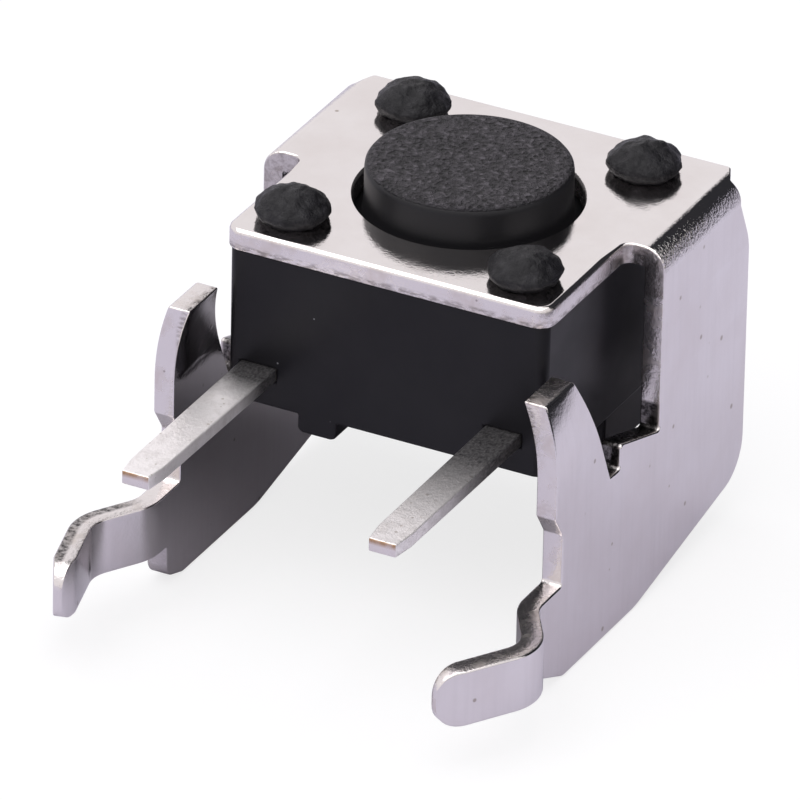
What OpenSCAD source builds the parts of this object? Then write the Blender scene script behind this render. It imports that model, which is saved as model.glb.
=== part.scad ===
// Right-angle tactile push button switch, 6 x 6 mm size, with a folded mounting bracket.
// Frame: the button's axis is Z and it presses down. The outer face of the cover is Z = 0.
// The board side, where the terminals and the snap legs point, is -Y. X = 0 is the middle plane.

/* [Body] */
// Width of the moulded body
body_w = 5.88; // [5.7:0.02:5.94]
// Depth of the moulded body
body_d = 5.88; // [5.7:0.02:5.94]
// Height of the body, from the underside of the cover to its bottom
body_h = 2.8; // [2.7:0.02:3.2]
// Radius of the body's upright edges
body_edge_r = 0.2; // [0.1:0.05:0.3]
// Height of the four feet under the body
foot_h = 0.33; // [0.2:0.01:0.5]
// Radius of the feet's lower corners
foot_r = 0.12; // [0.06:0.02:0.18]
// Width of the front and rear feet
foot_w = 0.72; // [0.5:0.02:0.9]
// Distance of the front and rear feet from the middle
foot_offset = 1.24; // [1:0.02:1.5]
// Width of the side feet
side_foot_w = 1.08; // [0.8:0.02:1.4]
// Distance of the side feet behind the middle
side_foot_offset = 0.09; // [0:0.01:0.3]
// Step from the body's side to the face of a side foot
side_foot_step = 0.1; // [0.05:0.01:0.2]
// How far the feet reach in under the body
foot_depth = 0.9; // [0.6:0.05:1.2]

/* [Stakes] */
// Distance of the stakes from the middle, along X and along Y
stake_offset = 2.16; // [2.14:0.01:2.2]
// Diameter of the stakes where they pass through the cover
stake_d = 0.9; // [0.7:0.02:1]
// Diameter of the melted heads
head_d = 1.28; // [1.16:0.02:1.36]
// Height of the melted heads above the cover
head_h = 0.54; // [0.45:0.01:0.6]
// Height of the heads' widest line above the cover
head_waist = 0.22; // [0.15:0.01:0.28]
// Reach of a head's foot past the stake, all round
head_foot = 0.05; // [0.03:0.01:0.1]
// Gap round a stake in its hole
stake_gap = 0.03; // [0.02:0.01:0.05]

/* [Cover] */
// Thickness of the sheet
sheet_t = 0.38; // [0.3:0.01:0.42]
// Reach of the cover's face beyond the body, on each side
cover_lip = 0.06; // [0.02:0.01:0.1]
// Gap between the button and the edge of its hole
hole_gap = 0.175; // [0.14:0.005:0.2]
// Radius of the cover's front corners
cover_corner_r = 0.3; // [0.2:0.02:0.4]
// Gap between the body's sides and the wings
wing_gap = 0.42; // [0.38:0.01:0.5]
// Inner radius of the folds between the face and the wings
fold_r = 0.1; // [0.06:0.01:0.14]
// Radius of the relief where a fold starts
relief_r = 0.18; // [0.1:0.02:0.2]

/* [Wings] */
// Distance of the wings' upper front edge in front of the middle
wing_front = 0.2; // [0.1:0.02:0.3]
// Depth of the wings' lowest edge below the cover's outer face
wing_low = 6.34; // [6.24:0.02:6.6]
// Distance in front of the middle at which that edge starts to rise
wing_rise_at = 0.95; // [0.5:0.05:1.5]
// Depth of the wings' lower rear corner
wing_rear_low = 5.57; // [5.3:0.01:5.9]
// Radius of the wings' lower rear corner
wing_rear_r = 0.75; // [0.4:0.05:1]
// How far the wings' rear edge is cut back at the fold
rear_cut = 0.52; // [0.4:0.02:0.6]
// Depth at which that cut ends
rear_cut_low = 1.25; // [1:0.05:1.5]
// Radius of the corner there
rear_cut_r = 1; // [0.6:0.05:1.4]
// Distance of the board seat from the button's axis
seat_dist = 3.97; // [3.85:0.01:4.1]
// Depth of the board seat's lower end
seat_low = 3.22; // [3.1:0.02:3.3]
// Step back from the board seat to the edge above the leg
seat_step = 0.27; // [0.15:0.01:0.35]
// Depth of the tabs' upper ends
tab_top = 1.17; // [1:0.01:1.4]
// Length of the tabs' upper ends
tab_len = 1; // [0.8:0.02:1.1]
// Depth at which the tabs start to curve inwards
tab_bend_at = 2.6; // [2.4:0.02:2.9]
// Outer radius of that curve
tab_bend_r = 4.2; // [3.6:0.1:6]
// Depth of the slot between a tab and its wing
slot_low = 3.38; // [3.34:0.01:3.5]
// Distance of the slot's rear side in front of the middle
slot_rear = 1.65; // [1.55:0.01:1.75]
// Length of the slot's floor
slot_len = 0.35; // [0.25:0.01:0.45]
// Depth of the wing's ledge beside the slot
ledge_high = 2.92; // [2.8:0.01:3]
// Depth of the ledge at the wing's upper front edge
ledge_low = 3.36; // [3.2:0.01:3.5]
// Radius of the small corners that the punch leaves
punch_r = 0.08; // [0.04:0.01:0.1]

/* [Snap legs] */
// Depth of the legs' upper edge
leg_top = 4.58; // [4.5:0.02:4.7]
// Width of the legs
leg_w = 1.02; // [0.9:0.02:1.08]
// Distance from the button's axis at which the legs leave the wings' plane
leg_start = 4.35; // [4.2:0.01:4.45]
// Angle at which the legs swing out
leg_out_angle = 33; // [20:1:40]
// Middle radius of the outward bend
leg_out_r = 0.8; // [0.5:0.05:1]
// Straight length after the outward bend
leg_out_len = 0.66; // [0.5:0.02:0.8]
// Angle at which the legs come back in
leg_in_angle = 25; // [15:1:32]
// Middle radius of the bend at the knee
leg_knee_r = 0.5; // [0.4:0.01:0.6]
// Straight length from the knee to the coined tip
leg_in_len = 1.34; // [1.1:0.02:1.5]
// Length of the coined tip
leg_tip_len = 0.5; // [0.4:0.02:0.6]
// Thickness left at the end of the coined tip
leg_tip_t = 0.15; // [0.1:0.01:0.2]
// Corner radius of the tip, seen from the side
leg_tip_r = 0.36; // [0.2:0.02:0.4]
// Reach of the stub under each leg, in front of the board seat
stub_len = 0.5; // [0.44:0.01:0.6]
// Rise of the wing's low edge towards the stub's front
stub_rise = 0.38; // [0.3:0.01:0.42]
// Length over which it rises
stub_slant = 0.9; // [0.7:0.05:1.1]
// Radius of the stub's lower corners
stub_r = 0.26; // [0.15:0.01:0.3]

/* [Button] */
// Diameter of the button where it stands out of the cover
button_d = 3.48; // [3.3:0.02:3.56]
// How much the button widens, on its radius, from the cover's hole down to its flange
button_taper = 0.04; // [0.02:0.01:0.08]
// Depth below the cover's outer face at which it starts to widen
taper_depth = 0.04; // [0.02:0.01:0.1]
// Height of the button above the cover's outer face
button_h = 0.64; // [0.5:0.01:0.9]
// Rounding of the button's upper edge
button_edge_r = 0.14; // [0.06:0.02:0.2]
// Thickness of the flange that keeps the button in
flange_t = 0.45; // [0.35:0.05:0.6]
// Radial gap between the flange and the cavity
flange_gap = 0.08; // [0.05:0.01:0.12]
// Play between the flange and the cover when the button is up
flange_play = 0.02; // [0.01:0.01:0.04]
// Diameter of the button's inner stem
stem_d = 2.1; // [1.8:0.1:2.4]
// Diameter of the nub that presses the contact dome
nub_d = 1; // [0.8:0.05:1.2]
// Height of that nub
nub_h = 0.2; // [0.1:0.05:0.3]

/* [Contacts] */
// Diameter of the cavity in the body
cavity_d = 4.6; // [4.4:0.05:4.7]
// Thickness of the terminals
terminal_t = 0.25; // [0.2:0.01:0.3]
// Width of the terminals
terminal_w = 0.68; // [0.6:0.02:0.7]
// Distance between the middles of the two terminals
terminal_pitch = 4.54; // [4.4:0.02:4.6]
// Distance by which the pair of terminals stands off the middle, to the left
terminal_shift = 0.08; // [0:0.01:0.1]
// Depth of the terminals' upper face below the cover's outer face
terminal_depth = 2.45; // [2.4:0.01:2.5]
// Distance from the button's axis to the terminals' tips
terminal_reach = 7.18; // [6.9:0.02:7.6]
// Width of the terminals where their pointed tip starts
terminal_neck_w = 0.62; // [0.54:0.02:0.66]
// Width of the terminals at their end
terminal_tip_w = 0.5; // [0.4:0.02:0.54]
// Length of the pointed tip
terminal_tip_len = 0.45; // [0.3:0.05:0.8]
// Height of the contact lands above the cavity's floor
land_rise = 0.1; // [0.05:0.01:0.12]
// Width of the ring-shaped land under the dome's rim
rim_land_w = 0.5; // [0.4:0.02:0.6]
// Reach of that land past the dome's rim
rim_land_margin = 0.1; // [0.05:0.01:0.15]
// Diameter of the centre land
centre_land_d = 1.2; // [1:0.05:1.4]
// Width of the strips that lead to the lands
strip_w = 0.6; // [0.5:0.02:0.7]
// Diameter of the contact dome
dome_d = 4; // [3.8:0.05:4.1]
// Height of the contact dome over the lands
dome_h = 0.32; // [0.3:0.01:0.4]
// Thickness of the contact dome
dome_t = 0.06; // [0.05:0.01:0.08]
// Gap between the nub and the dome when the button is up
dome_gap = 0.01; // [0.01:0.01:0.02]

/* [Hidden] */
$fn = 64;
// Overlap of solids that are joined to, or cut from, one another
lap = 0.02;

// Body
bottom_z = -sheet_t - body_h;
front_y = -body_d / 2;
head_foot_d = stake_d + 2 * head_foot;

// Cover
cover_w = body_w + 2 * cover_lip;
cover_d = body_d + 2 * cover_lip;
cover_hole_d = button_d + 2 * hole_gap;
bracket_w = body_w + 2 * (wing_gap + sheet_t);

// Wings and legs
wing_x = bracket_w / 2;
wing_mid_x = wing_x - sheet_t / 2;
fold_x = wing_x - sheet_t - fold_r;
slot_front = slot_rear + slot_len;
seat_front_low = seat_low + 1.5 * seat_step;
recess_dist = seat_dist - seat_step;
stub_dist = seat_dist + stub_len;
leg_low = leg_top + leg_w;
tab_mid_r = tab_bend_r - sheet_t / 2;
tab_angle = asin((tab_bend_at - tab_top + 2 * lap) / (tab_bend_r - sheet_t));
// A leg as the lengths and bends that follow one another from the wing to the coined tip
leg_steps = [
    [0, -leg_out_angle, leg_out_r],
    [leg_out_len, leg_out_angle + leg_in_angle, leg_knee_r],
    [leg_in_len, 0, 0],
];
leg_reach = leg_start + leg_out_r * sin(leg_out_angle) + leg_out_len * cos(leg_out_angle)
    + leg_knee_r * (sin(leg_out_angle) + sin(leg_in_angle))
    + (leg_in_len + leg_tip_len) * cos(leg_in_angle);

// Contacts
terminal_x = terminal_pitch / 2;
terminal_z = -terminal_depth - terminal_t;
floor_z = -terminal_depth;
land_z = floor_z + land_rise;
rim_land_r = dome_d / 2 + rim_land_margin;
pit_r = rim_land_r - rim_land_w;
nub_z = land_z + dome_h + dome_gap;
flange_top_z = -sheet_t - flange_play;

function xy(p) = [p[0], p[1]];
// The point at the distance d from a, on the way to b
function toward(a, b, d) = a + (b - a) * d / norm(b - a);
// Positive where the way from a over b to c turns left
function turn(a, b, c) = cross(b - a, c - b);

// The sliver between the corner at p, whose neighbours are a and b, and the arc that rounds it
module corner_sliver(a, p, b, r) {
    u = (a - p) / norm(a - p);
    v = (b - p) / norm(b - p);
    half = acos(u * v) / 2;
    centre = p + (u + v) / norm(u + v) * r / sin(half);
    difference() {
        polygon([p, toward(p, a, r / tan(half)), centre, toward(p, b, r / tan(half))]);
        translate(centre) circle(r);
    }
}

// A flat outline, counter-clockwise, from corners given as [x, y, radius]
module outline(corners) {
    n = len(corners);
    module slivers(side) {
        for (i = [0 : n - 1]) {
            a = xy(corners[(i + n - 1) % n]);
            p = xy(corners[i]);
            b = xy(corners[(i + 1) % n]);
            if (corners[i][2] > 0 && turn(a, p, b) * side > 0) corner_sliver(a, p, b, corners[i][2]);
        }
    }
    difference() {
        union() {
            polygon([for (c = corners) xy(c)]);
            slivers(-1);
        }
        slivers(1);
    }
}

// A sector of a ring, under 180 degrees, that starts on the X axis and turns left
module ring_sector(r_in, r_out, angle) {
    reach = 2 * r_out / cos(angle / 4);
    intersection() {
        difference() {
            circle(r_out);
            circle(r_in);
        }
        polygon([[0, 0], [reach, 0], reach * [cos(angle / 2), sin(angle / 2)],
            reach * [cos(angle), sin(angle)]]);
    }
}

// The edge of a bent sheet: it runs up the Y axis in steps of [length, turn to the right, middle radius].
// What is drawn as its children goes to its end.
module bent_strip(steps, t, i = 0) {
    if (i == len(steps)) children();
    else {
        length = steps[i][0];
        angle = steps[i][1];
        r = steps[i][2];
        if (length > 0) translate([-t / 2, 0]) square([t, length]);
        translate([0, length]) {
            if (angle != 0) translate([sign(angle) * r, 0]) rotate(angle > 0 ? 180 - angle : 0)
                ring_sector(r - t / 2, r + t / 2, abs(angle));
            translate([sign(angle) * r * (1 - cos(angle)), r * sin(abs(angle))]) rotate(-angle)
                bent_strip(steps, t, i + 1) children();
        }
    }
}

// A flat shape drawn as (y, z), made solid from x0 to x1
module side_prism(x0, x1) {
    translate([x0, 0, 0]) rotate([90, 0, 90]) linear_extrude(x1 - x0) children();
}

// A flat shape drawn as (x, z), made solid from y0 to y1
module front_prism(y0, y1) {
    translate([0, y1, 0]) rotate([90, 0, 0]) linear_extrude(y1 - y0) children();
}

module at_stakes() {
    for (x = [-1, 1], y = [-1, 1]) translate([x * stake_offset, y * stake_offset, 0]) children();
}

// A melted head: a low dome over a rim that draws in towards the stake
module stake_head() {
    r = head_d / 2;
    rise = head_h - head_waist;
    dome_r = (r * r + rise * rise) / (2 * rise);
    rotate_extrude() {
        intersection() {
            translate([0, head_h - dome_r]) circle(dome_r);
            translate([0, head_waist]) square([r, rise]);
        }
        polygon([[0, 0], [head_foot_d / 2, 0], [r, head_waist], [0, head_waist]]);
    }
}

// A foot under the body's front face, w wide and centred on x
module foot(x, w, y) {
    front_prism(y, y + foot_depth) outline([
        [x - w / 2, bottom_z - foot_h, foot_r], [x + w / 2, bottom_z - foot_h, foot_r],
        [x + w / 2, bottom_z + lap, 0], [x - w / 2, bottom_z + lap, 0]]);
}

// The moulded body with its cavity, its feet and the stakes that hold the cover
module base() {
    color([0.14, 0.13, 0.15]) difference() {
        union() {
            translate([0, 0, bottom_z]) linear_extrude(body_h) outline([
                [-body_w / 2, front_y, body_edge_r], [body_w / 2, front_y, body_edge_r],
                [body_w / 2, -front_y, body_edge_r], [-body_w / 2, -front_y, body_edge_r]]);
            for (end = [0, 180]) rotate(end) foot(-foot_offset, foot_w, front_y);
            for (side = [-1, 1]) rotate(side * 90)
                foot(side * side_foot_offset, side_foot_w, side_foot_step - body_w / 2);
            at_stakes() {
                translate([0, 0, -sheet_t - lap]) cylinder(d = stake_d, h = sheet_t + 2 * lap);
                stake_head();
            }
        }
        translate([0, 0, land_z]) cylinder(d = cavity_d, h = -sheet_t - land_z + lap);
        translate([0, 0, floor_z]) cylinder(r = pit_r, h = -floor_z - sheet_t);
        terminal_metal(-1);
        terminal_metal(1);
    }
}

// The wing's outline with its tab, its leg and its stub, drawn as (y, z)
module wing_outline() {
    outline([
        [-wing_front, 0, 0],
        [-wing_front, -ledge_low, punch_r],
        [-slot_rear, -ledge_high, punch_r],
        [-slot_rear, -slot_low, punch_r],
        [-slot_front, -slot_low, 0],
        [tab_len - seat_dist, -tab_top, punch_r],
        [-seat_dist, -tab_top, 0],
        [-seat_dist, -seat_low, punch_r],
        [-recess_dist, -seat_front_low, punch_r],
        [-recess_dist, -leg_top, punch_r],
        [-leg_reach, -leg_top, leg_tip_r],
        [-leg_reach, -leg_low, leg_tip_r],
        [-stub_dist, -leg_low, 0],
        [-stub_dist, stub_rise - wing_low, stub_r],
        [stub_slant - stub_dist, -wing_low, stub_r],
        [-wing_rise_at, -wing_low, 0],
        [cover_d / 2, -wing_rear_low, wing_rear_r],
        [cover_d / 2, -rear_cut_low, rear_cut_r],
        [cover_d / 2 - rear_cut, 0, 0],
    ]);
}

// The right wing: flat sheet, its fold, its curved tab and its bent leg, all cut to one outline
module wing() {
    inner_x = wing_x - sheet_t;
    intersection() {
        union() {
            front_prism(-slot_rear, cover_d / 2) translate([fold_x - lap, -sheet_t / 2]) rotate(-90)
                bent_strip([[lap, 90, fold_r + sheet_t / 2], [wing_low, 0, 0]], sheet_t);
            translate([inner_x, -leg_start, -wing_low])
                cube([sheet_t, leg_start - slot_rear + lap, wing_low - tab_bend_at]);
            translate([inner_x, -stub_dist, -wing_low])
                cube([sheet_t, stub_dist - leg_start + lap, wing_low - leg_low]);
            front_prism(-seat_dist, -slot_rear) translate([wing_mid_x, -tab_bend_at])
                bent_strip([[0, -tab_angle, tab_mid_r]], sheet_t);
            translate([wing_mid_x, -leg_start, -leg_low]) linear_extrude(leg_w) rotate(180)
                bent_strip(leg_steps, sheet_t) leg_tip();
        }
        side_prism(0, bracket_w) wing_outline();
    }
}

// The coined end of a leg, seen on its edge
module leg_tip() {
    polygon([[-sheet_t / 2, 0], [sheet_t / 2, 0], [leg_tip_t / 2, leg_tip_len], [-leg_tip_t / 2, leg_tip_len]]);
}

// The cover's face, with the button's hole and the stakes' holes
module cover_face() {
    half_w = cover_w / 2;
    half_d = cover_d / 2;
    translate([0, 0, -sheet_t]) linear_extrude(sheet_t) difference() {
        outline([
            [-half_w, -half_d, cover_corner_r], [half_w, -half_d, cover_corner_r],
            [half_w, -wing_front, relief_r], [fold_x, -wing_front, 0],
            [fold_x, half_d, punch_r], [-fold_x, half_d, punch_r],
            [-fold_x, -wing_front, 0], [-half_w, -wing_front, relief_r]]);
        circle(d = cover_hole_d);
        at_stakes() circle(d = stake_d + 2 * stake_gap);
    }
}

// The cover and the mounting bracket, folded from one sheet
module cover() {
    color([0.8, 0.78, 0.76]) {
        cover_face();
        wing();
        mirror([1, 0, 0]) wing();
    }
}

// The button, its flange, its stem and its nub as one turned form
module plunger() {
    button_r = button_d / 2;
    flange_r = cavity_d / 2 - flange_gap;
    color([0.25, 0.24, 0.26]) rotate_extrude() outline([
        [0, nub_z, 0], [nub_d / 2, nub_z, 0],
        [nub_d / 2, nub_z + nub_h, 0], [stem_d / 2, nub_z + nub_h, 0],
        [stem_d / 2, flange_top_z - flange_t, 0], [flange_r, flange_top_z - flange_t, 0],
        [flange_r, flange_top_z, 0], [button_r + button_taper, flange_top_z, 0],
        [button_r, -taper_depth, 0], [button_r, button_h, button_edge_r], [0, button_h, 0]]);
}

// The snap dome that closes the contacts and pushes the button back
module contact_dome() {
    r = dome_d / 2;
    outer_r = (r * r + dome_h * dome_h) / (2 * dome_h);
    color([0.75, 0.73, 0.7]) rotate_extrude() intersection() {
        translate([0, land_z + dome_h - outer_r]) difference() {
            circle(outer_r, $fn = 180);
            circle(outer_r - dome_t, $fn = 180);
        }
        translate([0, land_z]) square([dome_d, dome_h]);
    }
}

// The outer part of the terminal at x, from its tip to the body, and its run inside, seen from above
module terminal_leg(x, inner_y) {
    half_w = terminal_w / 2;
    half_neck = terminal_neck_w / 2;
    half_tip = terminal_tip_w / 2;
    neck_y = terminal_tip_len - terminal_reach;
    translate([x, 0]) polygon([
        [-half_tip, -terminal_reach], [half_tip, -terminal_reach], [half_neck, neck_y],
        [half_w, front_y], [half_w, inner_y], [-half_w, inner_y], [-half_w, front_y], [-half_neck, neck_y]]);
}

// The metal of a terminal: side -1 carries the ring-shaped land, side 1 carries the centre land
module terminal_metal(side) {
    translate([0, 0, terminal_z]) linear_extrude(terminal_t) {
        if (side > 0) {
            terminal_leg(terminal_x - terminal_shift, strip_w / 2);
            translate([0, -strip_w / 2]) square([terminal_x, strip_w]);
            circle(d = centre_land_d);
        } else {
            terminal_leg(-terminal_x - terminal_shift, -strip_w / 2);
            translate([-terminal_x, -3 / 2 * strip_w]) square([terminal_x - pit_r, strip_w]);
        }
    }
    translate([0, 0, land_z - terminal_t]) linear_extrude(terminal_t) {
        if (side > 0) circle(d = centre_land_d);
        else rotate(120) ring_sector(pit_r, rim_land_r, 120);
    }
}

module terminal_left() {
    color([0.78, 0.76, 0.72]) terminal_metal(-1);
}

module terminal_right() {
    color([0.78, 0.76, 0.72]) terminal_metal(1);
}

base();
cover();
plunger();
contact_dome();
terminal_left();
terminal_right();
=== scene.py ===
import math

import bmesh
import bpy
from mathutils import Matrix, Vector, noise


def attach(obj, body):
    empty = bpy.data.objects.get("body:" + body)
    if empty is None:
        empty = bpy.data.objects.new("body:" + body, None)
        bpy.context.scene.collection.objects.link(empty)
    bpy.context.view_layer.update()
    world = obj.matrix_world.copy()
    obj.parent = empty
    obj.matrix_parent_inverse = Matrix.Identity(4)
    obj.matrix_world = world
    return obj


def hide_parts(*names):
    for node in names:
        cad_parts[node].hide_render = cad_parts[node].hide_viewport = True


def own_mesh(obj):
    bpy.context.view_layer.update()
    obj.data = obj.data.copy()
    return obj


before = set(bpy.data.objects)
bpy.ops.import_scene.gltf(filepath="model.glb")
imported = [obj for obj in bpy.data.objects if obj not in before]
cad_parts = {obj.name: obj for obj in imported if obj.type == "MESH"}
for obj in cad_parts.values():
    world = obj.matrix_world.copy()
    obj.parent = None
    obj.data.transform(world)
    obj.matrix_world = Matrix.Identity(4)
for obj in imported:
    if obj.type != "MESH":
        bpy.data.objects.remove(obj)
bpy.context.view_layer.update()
mm = 0.001


def addNode(tree, kind, inputs=None, **settings):
    node = tree.nodes.new(kind)
    for name, value in settings.items():
        setattr(node, name, value)
    for name, value in (inputs or {}).items():
        setSocket(tree, node.inputs[name], value)
    return node


def setSocket(tree, socket, value):
    if isinstance(value, bpy.types.NodeSocket):
        tree.links.new(value, socket)
    else:
        socket.default_value = value


def mathNode(tree, operation, first, second=0.0, clamp=False):
    inputs = {0: first, 1: second}
    return addNode(tree, "ShaderNodeMath", inputs, operation=operation, use_clamp=clamp).outputs[0]


def product(tree, first, *others):
    for factor in others:
        first = mathNode(tree, "MULTIPLY", first, factor)
    return first


def mapRange(tree, value, fromLow, fromHigh, toLow=0.0, toHigh=1.0, smooth=False):
    node = addNode(tree, "ShaderNodeMapRange",
        {"Value": value, "From Min": fromLow, "From Max": fromHigh, "To Min": toLow, "To Max": toHigh},
        interpolation_type="SMOOTHSTEP" if smooth else "LINEAR")
    return node.outputs["Result"]


def mixColour(tree, share, first, second):
    node = addNode(tree, "ShaderNodeMix", data_type="RGBA")
    setSocket(tree, node.inputs[0], share)
    setSocket(tree, node.inputs[6], first)
    setSocket(tree, node.inputs[7], second)
    return node.outputs[2]


def mixNumber(tree, share, first, second):
    node = addNode(tree, "ShaderNodeMix", data_type="FLOAT")
    setSocket(tree, node.inputs[0], share)
    setSocket(tree, node.inputs[2], first)
    setSocket(tree, node.inputs[3], second)
    return node.outputs[0]


def newGroup(name, inputs, outputs):
    group = bpy.data.node_groups.new(name, "ShaderNodeTree")
    for socketName, kind, value in inputs:
        socket = group.interface.new_socket(socketName, in_out="INPUT", socket_type=kind)
        if value is not None:
            socket.default_value = value
    for socketName, kind in outputs:
        group.interface.new_socket(socketName, in_out="OUTPUT", socket_type=kind)
    return group, group.nodes.new("NodeGroupInput").outputs, group.nodes.new("NodeGroupOutput").inputs


def useGroup(tree, group, **inputs):
    node = tree.nodes.new("ShaderNodeGroup")
    node.node_tree = group
    for name, value in inputs.items():
        setSocket(tree, node.inputs[name], value)
    return node.outputs


def newMaterial(name, metallic=0.0, specular=0.5):
    material = bpy.data.materials.new(name)
    material.use_nodes = True
    tree = material.node_tree
    shader = tree.nodes["Principled BSDF"]
    shader.inputs["Metallic"].default_value = metallic
    shader.inputs["Specular IOR Level"].default_value = specular
    coordinates = tree.nodes.new("ShaderNodeTexCoord").outputs["Object"]
    return material, tree, shader, coordinates


def noiseOf(tree, at, scale, detail, roughness=0.5):
    node = addNode(tree, "ShaderNodeTexNoise",
        {"Vector": at, "Scale": scale, "Detail": detail, "Roughness": roughness})
    return node.outputs["Fac"]


# Lets a height in the shader stand out of the surface, by distance in millimetres where it is 1
def addBump(tree, shader, height, strength, distance):
    bump = addNode(tree, "ShaderNodeBump",
        {"Strength": strength, "Distance": distance * mm, "Height": height})
    tree.links.new(bump.outputs["Normal"], shader.inputs["Normal"])


# Patchy noise between 0 and 1, finer with a larger scale, stretched by a vector
def makePatches():
    group, given, out = newGroup("patches", [
        ("Vector", "NodeSocketVector", None), ("Stretch", "NodeSocketVector", (1, 1, 1)),
        ("Scale", "NodeSocketFloat", 2000.0), ("Detail", "NodeSocketFloat", 3.0),
        ("Low", "NodeSocketFloat", 0.35), ("High", "NodeSocketFloat", 0.65)],
        [("Mask", "NodeSocketFloat")])
    stretched = addNode(group, "ShaderNodeVectorMath",
        {0: given["Vector"], 1: given["Stretch"]}, operation="MULTIPLY").outputs[0]
    pattern = noiseOf(group, stretched, given["Scale"], given["Detail"], roughness=0.6)
    group.links.new(mapRange(group, pattern, given["Low"], given["High"]), out["Mask"])
    return group


# Small dots, 1 inside a dot and 0 outside. Share is the part of the cells that hold one
def makeSpecks():
    v = dict(smallest=0.4, softness=3.0)
    group, given, out = newGroup("specks", [
        ("Vector", "NodeSocketVector", None), ("Scale", "NodeSocketFloat", 4000.0),
        ("Size", "NodeSocketFloat", 0.2), ("Share", "NodeSocketFloat", 0.3)],
        [("Mask", "NodeSocketFloat")])
    cells = addNode(group, "ShaderNodeTexVoronoi",
        {"Vector": given["Vector"], "Scale": given["Scale"], "Randomness": 1.0}, feature="F1")
    draw = addNode(group, "ShaderNodeSeparateColor", {0: cells.outputs["Color"]})
    chosen = mathNode(group, "LESS_THAN", draw.outputs[0], given["Share"])
    size = product(group, given["Size"], mathNode(group, "ADD", draw.outputs[1], v["smallest"]))
    away = mathNode(group, "DIVIDE", cells.outputs["Distance"], size)
    inside = mathNode(group, "SUBTRACT", 1.0, away, clamp=True)
    soft = mathNode(group, "MULTIPLY", inside, v["softness"], clamp=True)
    group.links.new(product(group, soft, chosen), out["Mask"])
    return group


patches = makePatches()
specks = makeSpecks()


def makePlatedSheet():
    v = dict(plain=(0.80, 0.768, 0.762, 1), cloudy=(0.76, 0.72, 0.71, 1), streak=(0.66, 0.63, 0.63, 1),
        speck=(0.3, 0.25, 0.2, 1), smooth=0.06, dull=0.13, streaked=0.3, specked=0.7,
        foldX=3.34, foldStart=(-0.002, -0.012), foldEnd=(-0.34, -0.46),
        waves=1.6, peelScale=16000.0, peelHeight=60.0, peelZ=(-0.02, -0.15), peelShare=(0.12, 1.0),
        bump=0.4, bumpHeight=0.002)
    material, tree, shader, at = newMaterial("platedSheet", metallic=1.0)
    cloud = useGroup(tree, patches, Vector=at, Scale=800.0, Detail=4.0)["Mask"]
    drawn = useGroup(tree, patches, Vector=at, Stretch=(1, 1, 0.06), Scale=9000.0, Low=0.45, High=0.8)["Mask"]
    fine = useGroup(tree, patches, Vector=at, Scale=22000.0, Detail=2.0, Low=0.25, High=0.75)["Mask"]
    wave = useGroup(tree, patches, Vector=at, Scale=5000.0, Detail=1.0, Low=0.2, High=0.8)["Mask"]
    dots = useGroup(tree, specks, Vector=at, Scale=2400.0, Size=0.11, Share=0.16)["Mask"]
    x, y, z = addNode(tree, "ShaderNodeSeparateXYZ", {0: at}).outputs
    down = mapRange(tree, z, *(depth * mm for depth in v["foldStart"]))  # from the plate into the fold
    onWing = mapRange(tree, z, *(depth * mm for depth in v["foldEnd"]))
    outside = mathNode(tree, "GREATER_THAN", mathNode(tree, "ABSOLUTE", x), v["foldX"] * mm)
    onFold = product(tree, outside, mathNode(tree, "SUBTRACT", down, onWing, clamp=True))
    colour = mixColour(tree, cloud, v["plain"], v["cloudy"])
    streaks = product(tree, drawn, product(tree, onWing, v["streaked"]))
    colour = mixColour(tree, streaks, colour, v["streak"])
    colour = mixColour(tree, product(tree, dots, v["specked"]), colour, v["speck"])
    tree.links.new(colour, shader.inputs["Base Color"])
    tree.links.new(mixNumber(tree, cloud, v["smooth"], v["dull"]), shader.inputs["Roughness"])
    # Orange peel where the fold stretched the plating: worse towards the wing
    peel = noiseOf(tree, at, v["peelScale"], 2.0, roughness=0.7)
    worse = mapRange(tree, z, *(depth * mm for depth in v["peelZ"]), *v["peelShare"])
    peeled = product(tree, onFold, worse, v["peelHeight"])
    height = mathNode(tree, "ADD", fine, product(tree, wave, v["waves"]))
    height = mathNode(tree, "ADD", height, product(tree, peel, peeled))
    addBump(tree, shader, height, v["bump"], v["bumpHeight"])
    return material


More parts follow.
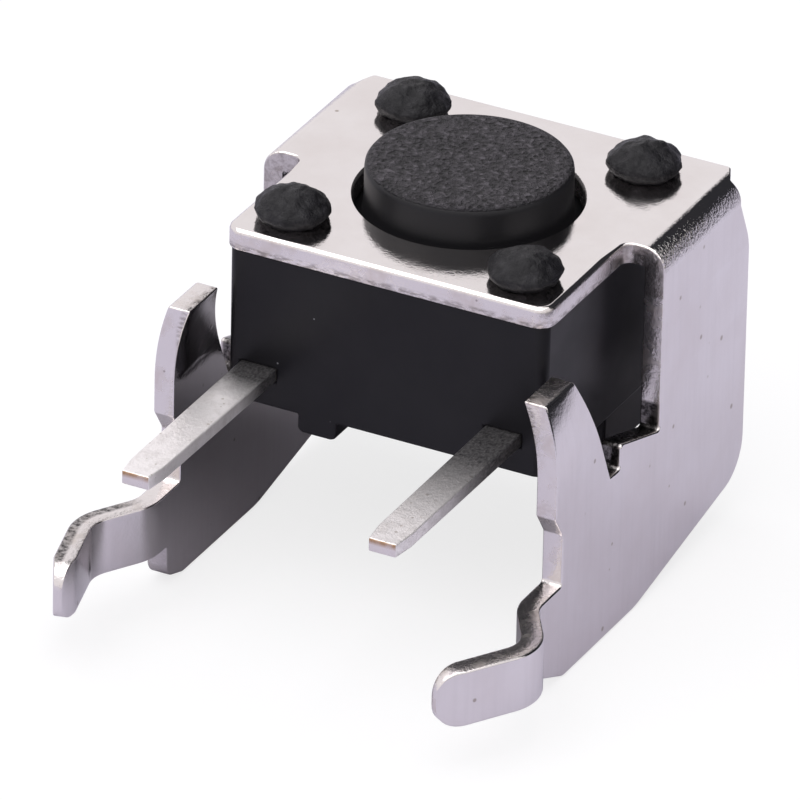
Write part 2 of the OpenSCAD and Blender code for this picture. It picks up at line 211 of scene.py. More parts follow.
def makeShearedEdge():
    v = dict(bright=(0.78, 0.74, 0.735, 1), tan=(0.6, 0.52, 0.47, 1), torn=(0.17, 0.145, 0.13, 1),
        dark=(0.035, 0.032, 0.033, 1), tanShare=0.6, roughness=(0.24, 0.38),
        plateX=(-0.1, 3.32), tornDepth=(0.62, 0.78), tornShare=0.6, speckShare=0.6,
        legX=(-5.0, -3.4), legY=(-7.1, -4.7), legBlur=0.2, legDepth=(0.55, 0.4), legShare=(0.45, 1.0),
        ledgeZ=(-3.42, -2.86), ledgeY=(-2.1, -0.1), ledgeDepth=(0.05, 0.2), ledgeShare=(1.0, 0.8),
        foldX=(3.02, 3.8), foldZ=(-0.9, 0.1), foldShare=(0.3, 0.6),
        grainScale=17000.0, grainHeight=1.6, bump=0.6, bumpHeight=0.007)
    material, tree, shader, at = newMaterial("shearedEdge", metallic=1.0)
    tan = useGroup(tree, patches, Vector=at, Scale=2200.0, Low=0.5, High=0.75)["Mask"]
    ragged = useGroup(tree, patches, Vector=at, Stretch=(0.35, 0.35, 1), Scale=16000.0,
        Low=0.42, High=0.6)["Mask"]
    mottled = useGroup(tree, patches, Vector=at, Scale=12000.0, Detail=4.0, Low=0.4, High=0.62)["Mask"]
    dots = useGroup(tree, specks, Vector=at, Scale=4200.0, Size=0.16, Share=0.12)["Mask"]
    # 0 at the sheet's outer face and 1 at its inner one
    depth = addNode(tree, "ShaderNodeAttribute", attribute_name="sheetDepth").outputs["Fac"]
    x, y, z = addNode(tree, "ShaderNodeSeparateXYZ", {0: at}).outputs
    side = mathNode(tree, "ABSOLUTE", x)

    # 1 where the value lies in the span, in millimetres, and 0 elsewhere
    def zone(value, span, blur=0.03):
        rises, falls = (mapRange(tree, value, (end - blur) * mm, (end + blur) * mm) for end in span)
        return mathNode(tree, "SUBTRACT", rises, falls, clamp=True)

    # The die tore the last third of the sheet. On the left leg the outer half of the edge is darkened to near
    # black
    tornPlate = product(tree, zone(side, v["plateX"]), mapRange(tree, depth, *v["tornDepth"]), ragged)
    darkLegEdge = product(tree, zone(x, v["legX"]), zone(y, v["legY"], v["legBlur"]),
        mapRange(tree, depth, *v["legDepth"]), mapRange(tree, mottled, 0.0, 1.0, *v["legShare"]))
    # Painted shade: the slot and the ledge beside the tab are darkened to near black
    ledge = product(tree, zone(z, v["ledgeZ"]), zone(y, v["ledgeY"]), mapRange(tree, depth, *v["ledgeDepth"]),
        mapRange(tree, mottled, 0.0, 1.0, *v["ledgeShare"]))
    # The front ends of the folds turn towards the torn brown: partly bare metal, partly painted shade
    foldEnd = product(tree, zone(side, v["foldX"]), zone(z, v["foldZ"]), mathNode(tree, "LESS_THAN", y, 0.0),
        mapRange(tree, mottled, 0.0, 1.0, *v["foldShare"]))
    colour = mixColour(tree, product(tree, tan, v["tanShare"]), v["bright"], v["tan"])
    marks = mathNode(tree, "MAXIMUM", product(tree, tornPlate, v["tornShare"]),
        product(tree, dots, v["speckShare"]))
    colour = mixColour(tree, mathNode(tree, "MAXIMUM", marks, foldEnd), colour, v["torn"])
    # Near black: the painted shade on the ledge, and the darkened outer half of the left leg's edge
    ledgeShadeAndDarkLeg = mathNode(tree, "MAXIMUM", ledge, darkLegEdge)
    tree.links.new(mixColour(tree, ledgeShadeAndDarkLeg, colour, v["dark"]), shader.inputs["Base Color"])
    tree.links.new(mapRange(tree, tan, 0.0, 1.0, *v["roughness"]), shader.inputs["Roughness"])
    grain = noiseOf(tree, at, v["grainScale"], 3.0)
    addBump(tree, shader, mathNode(tree, "ADD", product(tree, grain, v["grainHeight"]), tornPlate),
        v["bump"], v["bumpHeight"])
    return material


def makeMoulding():
    v = dict(black=(0.006, 0.0055, 0.0078, 1), grey=(0.009, 0.0085, 0.011, 1), dust=(0.2, 0.2, 0.22, 1),
        specular=0.24, roughness=(0.32, 0.42), grainScale=20000.0, bump=0.15, bumpHeight=0.003)
    material, tree, shader, at = newMaterial("moulding", specular=v["specular"])
    cloud = useGroup(tree, patches, Vector=at, Scale=700.0)["Mask"]
    dots = useGroup(tree, specks, Vector=at, Scale=3000.0, Size=0.1, Share=0.2)["Mask"]
    colour = mixColour(tree, cloud, v["black"], v["grey"])
    tree.links.new(mixColour(tree, dots, colour, v["dust"]), shader.inputs["Base Color"])
    tree.links.new(mapRange(tree, cloud, 0.0, 1.0, *v["roughness"]), shader.inputs["Roughness"])
    addBump(tree, shader, noiseOf(tree, at, v["grainScale"], 2.0), v["bump"], v["bumpHeight"])
    return material


def makeMeltedHead():
    v = dict(black=(0.007, 0.0065, 0.0085, 1), scuffed=(0.04, 0.038, 0.043, 1), scuffShare=0.6,
        specular=0.24, roughness=(0.3, 0.5), lumpScale=8000.0, bump=1.0, bumpHeight=0.05)
    material, tree, shader, at = newMaterial("meltedHead", specular=v["specular"])
    scuff = useGroup(tree, patches, Vector=at, Scale=5200.0, Detail=4.0, Low=0.45, High=0.7)["Mask"]
    fine = useGroup(tree, patches, Vector=at, Scale=17000.0, Detail=2.0, Low=0.3, High=0.7)["Mask"]
    colour = mixColour(tree, product(tree, scuff, v["scuffShare"]), v["black"], v["scuffed"])
    tree.links.new(colour, shader.inputs["Base Color"])
    tree.links.new(mapRange(tree, fine, 0.0, 1.0, *v["roughness"]), shader.inputs["Roughness"])
    addBump(tree, shader, noiseOf(tree, at, v["lumpScale"], 5.0, roughness=0.65), v["bump"], v["bumpHeight"])
    return material


def makeGrainedButton():
    v = dict(dark=(0.016, 0.0155, 0.017, 1), pale=(0.108, 0.098, 0.112, 1), side=(0.012, 0.0115, 0.0135, 1),
        pit=(0.008, 0.008, 0.009, 1), topFrom=0.575, topFull=0.62, specular=0.3, roughness=(0.42, 0.66),
        grainShare=0.75, blotchShare=0.25, pitShare=(0.9, 0.35), pitDepth=1.4, bump=1.0, bumpHeight=0.085)
    material, tree, shader, at = newMaterial("grainedButton", specular=v["specular"])
    grain = useGroup(tree, patches, Vector=at, Scale=10500.0, Detail=3.0, Low=0.34, High=0.62)["Mask"]
    blotch = useGroup(tree, patches, Vector=at, Scale=1500.0, Low=0.3, High=0.7)["Mask"]
    holes = useGroup(tree, specks, Vector=at, Scale=10500.0, Size=0.42, Share=0.5)["Mask"]
    height = addNode(tree, "ShaderNodeSeparateXYZ", {0: at}).outputs["Z"]
    onTop = mapRange(tree, height, v["topFrom"] * mm, v["topFull"] * mm)  # the sides are smooth
    lightness = mathNode(tree, "ADD", product(tree, grain, v["grainShare"]),
        product(tree, blotch, v["blotchShare"]))
    # The pits are pressed into the grain and painted darker: painted shade in the pits
    shadedPits = product(tree, holes, mapRange(tree, blotch, 0.0, 1.0, *v["pitShare"]))
    top = mixColour(tree, shadedPits, mixColour(tree, lightness, v["dark"], v["pale"]), v["pit"])
    tree.links.new(mixColour(tree, onTop, v["side"], top), shader.inputs["Base Color"])
    tree.links.new(mapRange(tree, onTop, 0.0, 1.0, *v["roughness"]), shader.inputs["Roughness"])
    relief = mathNode(tree, "SUBTRACT", grain, product(tree, shadedPits, v["pitDepth"]))
    addBump(tree, shader, product(tree, relief, onTop), v["bump"], v["bumpHeight"])
    return material


def makeTinnedTerminal():
    v = dict(tin=(0.97, 0.93, 0.935, 1), grey=(0.68, 0.64, 0.63, 1), tan=(0.4, 0.33, 0.28, 1),
        dark=(0.05, 0.048, 0.052, 1), greyShare=0.6, tanShare=0.5, darkShare=(0.8, 1.0),
        rootY=(-3.4, -4.0), darkStartY=(-4.2, -6.4),  # of the left terminal and the right one
        roughness=(0.34, 0.46), cloudHeight=1.2, bump=0.6, bumpHeight=0.005)
    material, tree, shader, at = newMaterial("tinnedTerminal", metallic=0.62)
    cloud = useGroup(tree, patches, Vector=at, Scale=4200.0, Detail=4.0, Low=0.45, High=0.72)["Mask"]
    dots = useGroup(tree, specks, Vector=at, Scale=9000.0, Size=0.24, Share=0.3)["Mask"]
    fine = useGroup(tree, patches, Vector=at, Stretch=(1, 0.6, 1), Scale=24000.0, Low=0.3, High=0.7)["Mask"]
    # Towards the body the terminal is darkened in patches, over a longer stretch on the right terminal
    x, y, z = addNode(tree, "ShaderNodeSeparateXYZ", {0: at}).outputs
    left, right = (mapRange(tree, y, begins * mm, root * mm) for begins, root in zip(v["darkStartY"], v["rootY"]))
    root = mixNumber(tree, mathNode(tree, "GREATER_THAN", x, 0.0), left, right)
    darkNearBody = product(tree, root, mapRange(tree, fine, 0.0, 1.0, *v["darkShare"]))
    colour = mixColour(tree, product(tree, cloud, v["greyShare"]), v["tin"], v["grey"])
    colour = mixColour(tree, product(tree, dots, v["tanShare"]), colour, v["tan"])
    tree.links.new(mixColour(tree, darkNearBody, colour, v["dark"]), shader.inputs["Base Color"])
    tree.links.new(mapRange(tree, cloud, 0.0, 1.0, *v["roughness"]), shader.inputs["Roughness"])
    height = mathNode(tree, "ADD", product(tree, cloud, v["cloudHeight"]), fine)
    addBump(tree, shader, height, v["bump"], v["bumpHeight"])
    return material


def makeBareTip():
    v = dict(brass=(0.42, 0.25, 0.13, 1), pale=(0.78, 0.73, 0.72, 1), bareZ=(-2.57, -2.5),
        bareShare=(0.55, 1.0), roughness=(0.25, 0.4))
    material, tree, shader, at = newMaterial("bareTip", metallic=1.0)
    smear = useGroup(tree, patches, Vector=at, Stretch=(1, 1, 0.4), Scale=7000.0)["Mask"]
    height = addNode(tree, "ShaderNodeSeparateXYZ", {0: at}).outputs["Z"]
    # The cut left the upper edge without plating
    bare = mapRange(tree, height, *(z * mm for z in v["bareZ"]))
    bare = product(tree, bare, mapRange(tree, smear, 0.0, 1.0, *v["bareShare"]))
    tree.links.new(mixColour(tree, bare, v["pale"], v["brass"]), shader.inputs["Base Color"])
    tree.links.new(mapRange(tree, smear, 0.0, 1.0, *v["roughness"]), shader.inputs["Roughness"])
    return material


def makeSpringSheet():
    v = dict(silver=(0.78, 0.76, 0.7, 1), dull=(0.62, 0.6, 0.55, 1), roughness=(0.2, 0.35))
    material, tree, shader, at = newMaterial("springSheet", metallic=1.0)
    cloud = useGroup(tree, patches, Vector=at, Scale=1800.0)["Mask"]
    tree.links.new(mixColour(tree, cloud, v["silver"], v["dull"]), shader.inputs["Base Color"])
    tree.links.new(mapRange(tree, cloud, 0.0, 1.0, *v["roughness"]), shader.inputs["Roughness"])
    return material


platedSheet = makePlatedSheet()
shearedEdge = makeShearedEdge()
moulding = makeMoulding()
meltedHead = makeMeltedHead()
grainedButton = makeGrainedButton()
tinnedTerminal = makeTinnedTerminal()
bareTip = makeBareTip()
springSheet = makeSpringSheet()
print("materials made")


mergeGap = 0.0005 * mm  # points nearer than this are one
cleanGap = 0.004 * mm
flatAngle = math.radians(0.5)
sharpAngle = math.radians(28)


# The solid's own shape, without the edges that only its triangles need
def nodeShape(node):
    shape = bmesh.new()
    shape.from_mesh(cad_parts[node].data)
    bmesh.ops.remove_doubles(shape, verts=shape.verts, dist=cleanGap)
    bmesh.ops.dissolve_limit(shape, angle_limit=flatAngle, verts=shape.verts, edges=shape.edges)
    return shape


# A turned shape about Z, from a profile of radius and height in millimetres
def turnedShape(profile, steps, cuts=0):
    shape = bmesh.new()
    rim = [shape.verts.new((radius * mm, 0, z * mm)) for radius, z in profile]
    line = [shape.edges.new(pair) for pair in zip(rim, rim[1:])]
    if cuts:
        bmesh.ops.subdivide_edges(shape, edges=line, cuts=cuts)
    bmesh.ops.spin(shape, geom=shape.verts[:] + shape.edges[:], cent=(0, 0, 0), axis=(0, 0, 1),
        angle=math.tau, steps=steps, use_merge=True)
    bmesh.ops.remove_doubles(shape, verts=shape.verts, dist=mergeGap)
    bmesh.ops.recalc_face_normals(shape, faces=shape.faces)
    return shape


def sceneObject(name, shape):
    mesh = bpy.data.meshes.new(name)
    shape.to_mesh(mesh)
    shape.free()
    thing = bpy.data.objects.new(name, mesh)
    bpy.context.scene.collection.objects.link(thing)
    return thing


# The shape of an object with its modifiers; the object itself goes
def takeShape(thing):
    mesh = bpy.data.meshes.new_from_object(thing.evaluated_get(bpy.context.evaluated_depsgraph_get()))
    shape = bmesh.new()
    shape.from_mesh(mesh)
    bpy.data.meshes.remove(mesh)
    bpy.data.meshes.remove(thing.data)
    return shape


# Gives each sharp edge the share of the piece's rounding that rule names, or none
def weighEdges(shape, rule):
    weights = shape.edges.layers.float
    layer = weights.get("bevel_weight_edge") or weights.new("bevel_weight_edge")
    for edge in shape.edges:
        if edge.is_manifold and edge.calc_face_angle(0) > sharpAngle:
            edge[layer] = rule(edge)
            edge.smooth = edge[layer] > 0


def roundEdges(thing, width, segments):
    rounding = thing.modifiers.new("rounding", "BEVEL")
    rounding.width = width * mm
    rounding.segments = segments
    rounding.limit_method = "WEIGHT"
    rounding.use_clamp_overlap = False


def finishPiece(shape, name, body, materials, node=None, rounding=None):
    piece = sceneObject(name, shape)
    for material in materials:
        piece.data.materials.append(material)
    piece.data.shade_smooth()
    if rounding:
        roundEdges(piece, rounding["roundWidth"], rounding["segments"])
    piece.modifiers.new("evenNormals", "WEIGHTED_NORMAL").keep_sharp = True
    if node:
        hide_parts(node)
    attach(piece, body)
    return piece


coverValues = dict(
    sheet=0.38, foldX=3.34, foldR=0.02, foldSteps=12, holeR=1.915, holeRoll=0.05, stakeOffset=2.16,
    stakeHoleR=0.48, stakeHoleRoll=0.02, cutterTop=0.3, cutterLow=-0.6, cutterSteps=120, cornerSteps=8,
    # The flat sheet's right half as punched: x, y and corner radius on the plate, then depth, y and radius
    plate=[(3.0, -3.0, 0.3), (3.0, -0.2, 0.18)],
    wing=[(3.36, -0.2, 0.08), (2.92, -1.65, 0.08), (3.38, -1.65, 0.08), (3.38, -2.0, 0), (1.17, -2.97, 0.08),
        (1.17, -3.97, 0.03), (3.22, -3.97, 0.08), (3.625, -3.7, 0.08), (4.58, -3.7, 0.08)],
    wingRear=[(6.34, -3.57, 0.26), (6.34, -0.95, 1.6), (5.57, 3.0, 0.75), (1.25, 3.0, 1.0), (0.4, 2.62, 0)],
    rear=[(3.44, 2.64, 0.04), (3.34, 3.0, 0.06)],
    tabX=3.74, tabBendAt=2.6, tabBendR=4.2, tabFront=-1.0, tabStep=0.13, tabSteps=11,
    legStart=4.35, legTop=4.58, legLow=5.6, legTipR=0.42, legTipLength=0.5, legTipThin=0.4, legTipHalf=0.8,
    legTurnStep=3, legMargin=0.02, legDivideFrom=4.3065, stubR=0.26,
    # By side, 1 for the right and -1 for the left, whose stub was cut shorter
    stubLow={1: 5.96, -1: 6.16},
    stubFront={1: -4.47, -1: -4.14},
    # A leg's stretches: length, then the angle it turns outwards. The left one was bent a little wider
    legSteps={1: [(0.4608, 33), (0.6, 0), (0.794, -65), (1.46, 0)],
        -1: [(0.43, 31), (0.62, 0), (0.642, -46), (1.47, 0)]},
    # The edges' rounding, and each kind of edge's share of it
    roundWidth=0.1, segments=3, rolled=1.0, edge=0.4, burr=0.25, corner=0.3, notch=0.2,
    rolledX=3.06, rolledY=-0.37, notchX=3.64, notchY=2.4, holeMargin=0.1, shearedBelow=0.45)


# Where a point of the wing lies in the flat sheet, from its depth
def flatX(depth):
    v = coverValues
    return v["foldX"] + foldLength() + depth - v["sheet"] - v["foldR"]


# Along the middle of the sheet
def foldLength():
    return (coverValues["foldR"] + coverValues["sheet"] / 2) * math.pi / 2


def legLength(side):
    return sum(length for length, turn in coverValues["legSteps"][side])


# The outline of one half of the flat sheet, as on the right side
def halfOutline(side):
    v = coverValues
    tip = -v["legStart"] - legLength(side)
    stub = v["stubFront"][side]
    ends = [(v["legTop"], tip, v["legTipR"]), (v["legLow"], tip, v["legTipR"]), (v["legLow"], stub, 0),
        (v["stubLow"][side], stub, v["stubR"])]
    wing = [(flatX(depth), y, radius) for depth, y, radius in v["wing"] + ends + v["wingRear"]]
    return v["plate"] + wing + v["rear"]


# The middle line of a leg: the way outwards, the way to the board and the heading, after a distance along it
def alongLeg(distance, side):
    out, down, heading = 0.0, 0.0, 0.0
    for length, turn in coverValues["legSteps"][side]:
        part = min(distance, length)
        if turn:
            radius = length / math.radians(turn)
            after = heading + part / radius
            out += radius * (math.cos(heading) - math.cos(after))
            down += radius * (math.sin(after) - math.sin(heading))
            heading = after
        else:
            out += part * math.sin(heading)
            down += part * math.cos(heading)
        distance -= part
    return out, down, heading


# Where one point of the flat sheet goes, through the fold and then the tab or the leg: in mm, on the right
def bent(x, y, z, side):
    v = coverValues
    reach = v["foldR"] + v["sheet"] + z
    low = -v["foldR"] - v["sheet"]
    if x <= v["foldX"]:
        return x, y, z
    if x < v["foldX"] + foldLength():
        angle = (x - v["foldX"]) / (v["foldR"] + v["sheet"] / 2)
        return v["foldX"] + reach * math.sin(angle), y, low + reach * math.cos(angle)
    x, z = v["foldX"] + reach, low - (x - v["foldX"] - foldLength())
    rise = z + v["tabBendAt"]
    if y < v["tabFront"] and rise > 0:
        centre = v["tabX"] - v["tabBendR"]
        return centre + math.sqrt((x - centre) ** 2 - rise ** 2), y, z
    along = -v["legStart"] - y
    if along > 0 and -v["legLow"] - v["legMargin"] < z < -v["legTop"] + v["legMargin"]:
        out, down, heading = alongLeg(along, side)
        middle = v["tabX"] - v["sheet"] / 2
        coined = max(0.0, along - legLength(side) + v["legTipLength"]) / v["legTipLength"]
        off = (x - middle) * (1 - coined * (1 - v["legTipThin"]))
        return middle + out + off * math.cos(heading), -v["legStart"] - down + off * math.sin(heading), z
    return x, y, z


# A turned cutter with a rolled lip for one round hole of the plate
def holeCutter(radius, roll, x, y):
    v = coverValues
    profile = [(0, v["cutterTop"]), (radius + roll, v["cutterTop"]), (radius + roll, 0.01),
        (radius + roll * 0.4, -roll * 0.3), (radius, -roll), (radius, v["cutterLow"]), (0, v["cutterLow"])]
    shape = turnedShape(profile, v["cutterSteps"])
    bmesh.ops.translate(shape, verts=shape.verts, vec=(x * mm, y * mm, 0))
    return sceneObject("holeCutter", shape)


# The whole sheet before it is folded, with sharp edges
def punchedSheet():
    v = coverValues
    corners = halfOutline(1) + [(-x, y, radius) for x, y, radius in reversed(halfOutline(-1))]
    shape = bmesh.new()
    verts = [shape.verts.new((x * mm, y * mm, 0)) for x, y, radius in corners]
    shape.faces.new(verts)
    places = [vert.co.copy() for vert in verts]
    for i, (vert, (x, y, radius)) in enumerate(zip(verts, corners)):
        inward = places[i] - places[i - 1]
        onward = places[(i + 1) % len(places)] - places[i]
        if radius > 0:
            length = radius * math.tan(inward.angle(onward) / 2)
            bmesh.ops.bevel(shape, geom=[vert], offset=length * mm, offset_type="OFFSET",
                segments=v["cornerSteps"], profile=0.5, affect="VERTICES", material=-1, clamp_overlap=False)
    raised = bmesh.ops.extrude_face_region(shape, geom=shape.faces[:])["geom"]
    lowered = [item for item in raised if isinstance(item, bmesh.types.BMVert)]
    bmesh.ops.translate(shape, verts=lowered, vec=(0, 0, -v["sheet"] * mm))
    bmesh.ops.recalc_face_normals(shape, faces=shape.faces)

    flat = sceneObject("flatSheet", shape)
    cutters = [holeCutter(v["holeR"], v["holeRoll"], 0, 0)]
    for sideX in (-1, 1):
        for sideY in (-1, 1):
            cutters.append(holeCutter(v["stakeHoleR"], v["stakeHoleRoll"],
                sideX * v["stakeOffset"], sideY * v["stakeOffset"]))
    for cutter in cutters:
        hole = flat.modifiers.new("hole", "BOOLEAN")
        hole.operation = "DIFFERENCE"
        hole.solver = "EXACT"
        hole.object = cutter
    shape = takeShape(flat)
    for cutter in cutters:
        bpy.data.meshes.remove(cutter.data)
    return shape


# How much of the rounding an edge of the flat sheet gets
def coverWeight(edge):
    v = coverValues
    x, y, z = (edge.verts[0].co + edge.verts[1].co) / 2 / mm
    if abs(x) < v["notchX"] and y > v["notchY"]:
        return v["notch"]
    fromHole = math.hypot(x, y) - v["holeR"]
    fromStake = math.hypot(abs(x) - v["stakeOffset"], abs(y) - v["stakeOffset"]) - v["stakeHoleR"]
    if min(fromHole, fromStake) < v["holeMargin"]:
        return 0.0
    if all(abs(face.normal.z) < 0.5 for face in edge.link_faces):
        return v["corner"]
    if z < -v["sheet"] / 2:
        return v["burr"]
    onPlate = all(abs(vert.co.x) < v["rolledX"] * mm and vert.co.y < v["rolledY"] * mm for vert in edge.verts)
    return v["rolled"] if onPlate else v["edge"]


# Cuts the faces at a plane, so that they can bend there
def divide(shape, geom, place, across):
    bmesh.ops.bisect_plane(shape, geom=geom, plane_co=place, plane_no=across, dist=mergeGap)


def divideBends(shape):
    v = coverValues
    legFrom = -v["legDivideFrom"] * mm
    for side in (-1, 1):
        start = v["legStart"]
        crossings = []
        for length, turn in v["legSteps"][side]:
            pieces = max(1, round(abs(turn) / v["legTurnStep"]))
            crossings += [start + length * i / pieces for i in range(pieces)]
            start += length
        crossings += [start - v["legTipLength"], start - v["legTipLength"] * v["legTipHalf"]]
        for at in crossings:
            mine = [vert for vert in shape.verts if vert.co.x * side > 0 and vert.co.y < legFrom]
            edges = set(edge for vert in mine for edge in vert.link_edges)
            faces = set(face for vert in mine for face in vert.link_faces)
            divide(shape, mine + list(edges) + list(faces), (0, -at * mm, 0), (0, 1, 0))
    crossings = [v["foldX"] + foldLength() * i / v["foldSteps"] for i in range(v["foldSteps"] + 1)]
    crossings += [flatX(v["tabBendAt"] - v["tabStep"] * i) for i in range(v["tabSteps"])]
    for at in crossings:
        for side in (-1, 1):
            divide(shape, shape.verts[:] + shape.edges[:] + shape.faces[:], (side * at * mm, 0, 0), (1, 0, 0))


def makeCover():
    v = coverValues
    shape = punchedSheet()
    weighEdges(shape, coverWeight)
    flat = sceneObject("flatSheet", shape)
    roundEdges(flat, v["roundWidth"], v["segments"])
    shape = takeShape(flat)
    divideBends(shape)
    shape.normal_update()
    depth = shape.verts.layers.float.new("sheetDepth")
    for face in shape.faces:
        face.material_index = 1 if abs(face.normal.z) < v["shearedBelow"] else 0
    for vert in shape.verts:
        side = int(math.copysign(1, vert.co.x))
        vert[depth] = -vert.co.z / mm / v["sheet"]
        x, y, z = bent(abs(vert.co.x) / mm, vert.co.y / mm, vert.co.z / mm, side)
        vert.co = Vector((side * x, y, z)) * mm
    bmesh.ops.recalc_face_normals(shape, faces=shape.faces)
    finishPiece(shape, "coverSheet", "switch_body", [platedSheet, shearedEdge], node="cover")


baseValues = dict(cutZ=-0.2, roundWidth=0.05, segments=2, footTop=-3.17, footFrom=-3.3, sideFootX=1.9,
    sideFootY=0.7, footLonger=0.5, footBack=0.3, footWider=0.68)


# The body up to the cover, without the stakes, whose heads are a piece of their own
def makeBase():
    v = baseValues
    shape = nodeShape("base")
    cut = bmesh.ops.bisect_plane(shape, geom=shape.verts[:] + shape.edges[:] + shape.faces[:],
        plane_co=(0, 0, v["cutZ"] * mm), plane_no=(0, 0, 1), clear_outer=True)
    rims = [item for item in cut["geom_cut"] if isinstance(item, bmesh.types.BMEdge)]
    bmesh.ops.holes_fill(shape, edges=rims)
    # The side feet reach further down and back than the front and rear ones
    ends = [vert for vert in shape.verts if vert.co.z < v["footFrom"] * mm
        and abs(vert.co.x) > v["sideFootX"] * mm and abs(vert.co.y) < v["sideFootY"] * mm]
    bmesh.ops.translate(shape, verts=ends, vec=(0, 0, -v["footLonger"] * mm))
    backs = [vert for vert in shape.verts if vert.co.z < v["footTop"] * mm
        and abs(vert.co.x) > v["sideFootX"] * mm and v["footBack"] * mm < vert.co.y < v["sideFootY"] * mm]
    bmesh.ops.translate(shape, verts=backs, vec=(0, v["footWider"] * mm, 0))
    weighEdges(shape, lambda edge: 1.0)
    finishPiece(shape, "baseMoulding", "switch_body", [moulding], node="base", rounding=v)


headValues = dict(offset=2.16, steps=72, cuts=2, lump=0.045, lumpScale=2.9, lumpFrom=0.02,
    lumpSeed=(7.3, 1.7, 3.1), roughness=0.9, lacunarity=2.0, octaves=3,
    profile=[(0.0, 0.54), (0.12, 0.53), (0.24, 0.502), (0.36, 0.455), (0.46, 0.395), (0.54, 0.33),
        (0.6, 0.27), (0.635, 0.215), (0.632, 0.15), (0.6, 0.09), (0.54, 0.035), (0.5, 0.0),
        (0.45, -0.04), (0.45, -0.2), (0.0, -0.2)])


def makeHeads():
    v = headValues
    whole = bmesh.new()
    for number, (sideX, sideY) in enumerate([(-1, -1), (1, -1), (1, 1), (-1, 1)]):
        shape = turnedShape(v["profile"], v["steps"], v["cuts"])
        shape.normal_update()
        seedX, seedY, seedZ = v["lumpSeed"]
        for vert in shape.verts:
            if vert.co.z < v["lumpFrom"] * mm:
                continue
            spot = vert.co / mm * v["lumpScale"] + Vector((seedX * number, seedY, seedZ))
            push = noise.fractal(spot, v["roughness"], v["lacunarity"], v["octaves"]) * v["lump"] * mm
            vert.co += vert.normal * push
        bmesh.ops.translate(shape, verts=shape.verts,
            vec=(sideX * v["offset"] * mm, sideY * v["offset"] * mm, 0))
        part = bpy.data.meshes.new("headPart")
        shape.to_mesh(part)
        shape.free()
        whole.from_mesh(part)
        bpy.data.meshes.remove(part)
    finishPiece(whole, "stakeHeads", "switch_body", [meltedHead])


buttonValues = dict(steps=160, profile=[(0.0, 0.64), (0.8, 0.64), (1.5, 0.638), (1.62, 0.628), (1.69, 0.6),
    (1.73, 0.55), (1.74, 0.48), (1.74, -0.04), (1.78, -0.4), (2.22, -0.4), (2.22, -0.85), (1.05, -0.85),
    (1.05, -1.82), (0.5, -1.82), (0.5, -2.02), (0.0, -2.02)])


def makeButton():
    v = buttonValues
    shape = turnedShape(v["profile"], v["steps"])
    finishPiece(shape, "pushButton", "button", [grainedButton], node="plunger")


terminalValues = dict(tipY=-7.17, tipFacing=-0.9, roundWidth=0.03, segments=2)


def makeTerminal(node, name):
    v = terminalValues
    shape = nodeShape(node)
    for face in shape.faces:
        atTip = face.calc_center_median().y < v["tipY"] * mm and face.normal.y < v["tipFacing"]
        face.material_index = 1 if atTip else 0
    weighEdges(shape, lambda edge: 1.0)
    finishPiece(shape, name, "switch_body", [tinnedTerminal, bareTip],
        node=node, rounding=v)


# The contact dome keeps its part's shape, on a mesh of its own
def makeDome():
    dome = finishPiece(nodeShape("contact_dome"), "contactDome", "switch_body", [springSheet],
        node="contact_dome")
    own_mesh(dome)


makeCover()
makeBase()
makeHeads()
makeButton()
makeTerminal("terminal_left", "terminalLeft")
makeTerminal("terminal_right", "terminalRight")
makeDome()
print("pieces made")


studioValues = dict(
    # The floor: as the camera sees it, as it lights the object, and as polished metal shows it
    floorZ=-6.36, floorSize=6.0, floorColour=(0.26, 0.255, 0.265, 1), floorLift=0.77,
    floorLit=(0.86, 0.85, 0.87, 1), floorShine=(0.72, 0.69, 0.81, 1), floorShade=(0.38, 0.365, 0.41, 1),
    darkSide=(0.03, 0.03, 0.035, 1),
    shadeX=(-6.0, 3.1), shadeY=(-4.6, 9.0), shadeBlurX=0.35, shadeBlurY=1.0, farX=(16.0, 30.0),
    # The sky: as it lights the object, as polished metal shows it, and the dark screen in it
    skyColour=(0.98, 0.98, 1.0, 1), skyStrength=0.42, skyShine=(0.965, 0.935, 0.95, 1), white=(1, 1, 1, 1),
    screenX=(-0.29, -0.17), screenY=(0.1, 0.35),
    boxHeight=0.36, boxSize=0.5, boxPower=1.25, boxTilt=(11, -9))


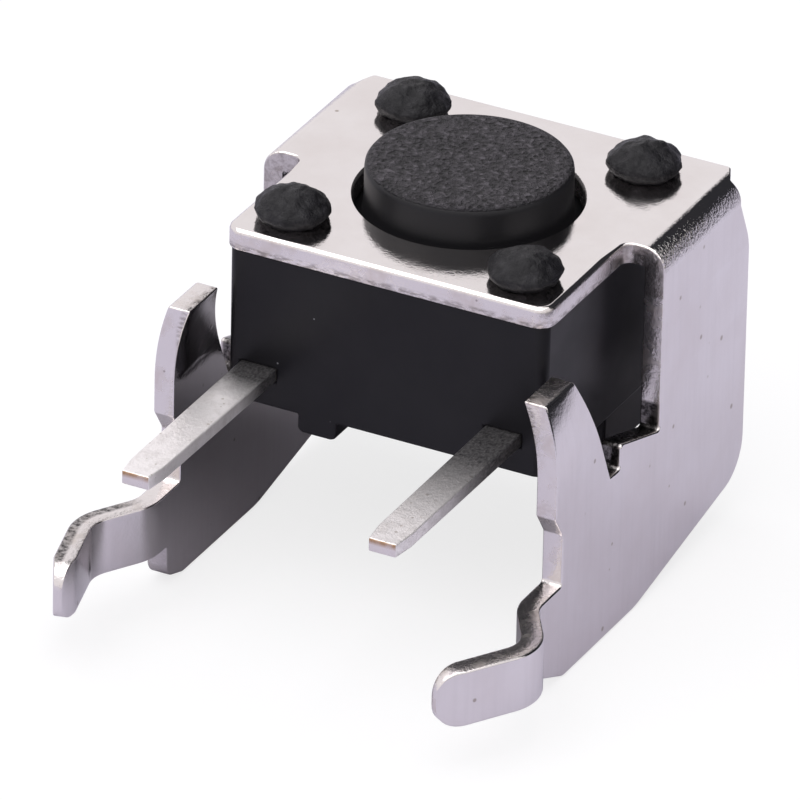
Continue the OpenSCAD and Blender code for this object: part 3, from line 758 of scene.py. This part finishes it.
def makeFloor():
    v = studioValues
    shape = bmesh.new()
    bmesh.ops.create_grid(shape, x_segments=1, y_segments=1, size=v["floorSize"] / 2)
    bmesh.ops.translate(shape, verts=shape.verts, vec=(0, 0, v["floorZ"] * mm))
    floor = sceneObject("studioFloor", shape)
    material = bpy.data.materials.new("studioFloor")
    material.use_nodes = True
    tree = material.node_tree
    tree.nodes.clear()
    ray = tree.nodes.new("ShaderNodeLightPath").outputs
    paper = addNode(tree, "ShaderNodeBsdfDiffuse", {"Color": v["floorColour"]})
    lift = addNode(tree, "ShaderNodeEmission", {"Color": v["white"], "Strength": v["floorLift"]})
    seen = addNode(tree, "ShaderNodeAddShader", {0: paper.outputs[0], 1: lift.outputs[0]})
    lit = addNode(tree, "ShaderNodeBsdfDiffuse", {"Color": v["floorLit"]})
    # Polished metal shows the shade under the object, and a dark room far to the right
    at = tree.nodes.new("ShaderNodeTexCoord").outputs["Object"]
    place = addNode(tree, "ShaderNodeSeparateXYZ", {0: at})
    shade = 1.0
    for axis, (low, high), blur in (("X", v["shadeX"], v["shadeBlurX"]), ("Y", v["shadeY"], v["shadeBlurY"])):
        rises = mapRange(tree, place.outputs[axis], (low - blur) * mm, (low + blur) * mm, smooth=True)
        falls = mapRange(tree, place.outputs[axis], (high - blur) * mm, (high + blur) * mm, smooth=True)
        shade = product(tree, mathNode(tree, "SUBTRACT", rises, falls, clamp=True), shade)
    near = mixColour(tree, shade, v["floorShine"], v["floorShade"])
    far = mapRange(tree, place.outputs["X"], *(x * mm for x in v["farX"]))
    shine = addNode(tree, "ShaderNodeBsdfDiffuse", {"Color": mixColour(tree, far, near, v["darkSide"])})
    mirrored = mathNode(tree, "MAXIMUM", ray["Is Glossy Ray"], ray["Is Transmission Ray"])
    plain = addNode(tree, "ShaderNodeMixShader",
        {0: ray["Is Camera Ray"], 1: lit.outputs[0], 2: seen.outputs[0]})
    surface = addNode(tree, "ShaderNodeMixShader", {0: mirrored, 1: plain.outputs[0], 2: shine.outputs[0]})
    output = tree.nodes.new("ShaderNodeOutputMaterial")
    tree.links.new(surface.outputs[0], output.inputs["Surface"])
    floor.data.materials.append(material)


def makeSky():
    v = studioValues
    world = bpy.data.worlds.new("studioSky")
    bpy.context.scene.world = world
    world.use_nodes = True
    tree = world.node_tree
    tree.nodes.clear()
    ray = tree.nodes.new("ShaderNodeLightPath").outputs
    sight = tree.nodes.new("ShaderNodeTexCoord").outputs["Generated"]
    toward = addNode(tree, "ShaderNodeSeparateXYZ", {0: sight})
    # The dark screen stands behind the object: polished metal shows it, and nothing else does
    across = mapRange(tree, toward.outputs["X"], *v["screenX"], smooth=True)
    behind = mapRange(tree, toward.outputs["Y"], *v["screenY"], smooth=True)
    studio = mixColour(tree, product(tree, across, behind), v["skyShine"], v["darkSide"])
    plain = addNode(tree, "ShaderNodeBackground", {"Color": v["skyColour"], "Strength": v["skyStrength"]})
    mirrored = addNode(tree, "ShaderNodeBackground", {"Color": studio, "Strength": 1.0})
    white = addNode(tree, "ShaderNodeBackground", {"Color": v["white"], "Strength": 1.0})
    unseen = addNode(tree, "ShaderNodeMixShader",
        {0: ray["Is Glossy Ray"], 1: plain.outputs[0], 2: mirrored.outputs[0]})
    seen = mathNode(tree, "MAXIMUM", ray["Is Camera Ray"], ray["Is Transmission Ray"])
    surface = addNode(tree, "ShaderNodeMixShader", {0: seen, 1: unseen.outputs[0], 2: white.outputs[0]})
    output = tree.nodes.new("ShaderNodeOutputWorld")
    tree.links.new(surface.outputs[0], output.inputs["Surface"])


# The lamp hangs over the object and is turned about it
def makeLamp():
    v = studioValues
    light = bpy.data.lights.new("softBox", "AREA")
    light.shape = "SQUARE"
    light.size = v["boxSize"]
    light.energy = v["boxPower"]
    lamp = bpy.data.objects.new("softBox", light)
    tiltX, tiltY = (math.radians(angle) for angle in v["boxTilt"])
    turn = Matrix.Rotation(tiltX, 4, "X") @ Matrix.Rotation(tiltY, 4, "Y")
    lamp.matrix_world = turn @ Matrix.Translation((0, 0, v["boxHeight"]))
    bpy.context.scene.collection.objects.link(lamp)


# Angles in radians, distance in millimetres; the frame's origin in the picture, and the picture's scale there
cameraValues = dict(azimuth=0.4709, elevation=0.5038, roll=-0.0214, distance=239.0, pixelsPerMm=60.5391,
    originPixel=(468.95, 194.04), imageSize=800, sensor=36, clipStart=0.01, clipEnd=20)


def makeCamera():
    v = cameraValues
    a, e, roll = v["azimuth"], v["elevation"], v["roll"]
    back = Vector((math.sin(a) * math.cos(e), -math.cos(a) * math.cos(e), math.sin(e)))
    right = Vector((math.cos(a), math.sin(a), 0))
    up = back.cross(right)
    rolled = Matrix(((math.cos(roll), -math.sin(roll), 0), (math.sin(roll), math.cos(roll), 0), (0, 0, 1)))
    turn = (rolled @ Matrix((right, up, back))).transposed()
    half = v["imageSize"] / 2
    originX, originY = v["originPixel"]
    shift = Vector(((half - originX) / v["pixelsPerMm"], (originY - half) / v["pixelsPerMm"],
        v["distance"])) * mm
    camera = bpy.data.cameras.new("camera")
    camera.sensor_width = v["sensor"]
    camera.lens = v["pixelsPerMm"] * v["distance"] * v["sensor"] / v["imageSize"]
    camera.clip_start = v["clipStart"]
    camera.clip_end = v["clipEnd"]
    view = bpy.data.objects.new("camera", camera)
    view.matrix_world = Matrix.Translation(turn @ shift) @ turn.to_4x4()
    bpy.context.scene.collection.objects.link(view)
    bpy.context.scene.camera = view


makeFloor()
makeSky()
makeLamp()
makeCamera()
bpy.context.scene.view_settings.view_transform = "Standard"
print("studio made")

bpy.context.view_layer.update()
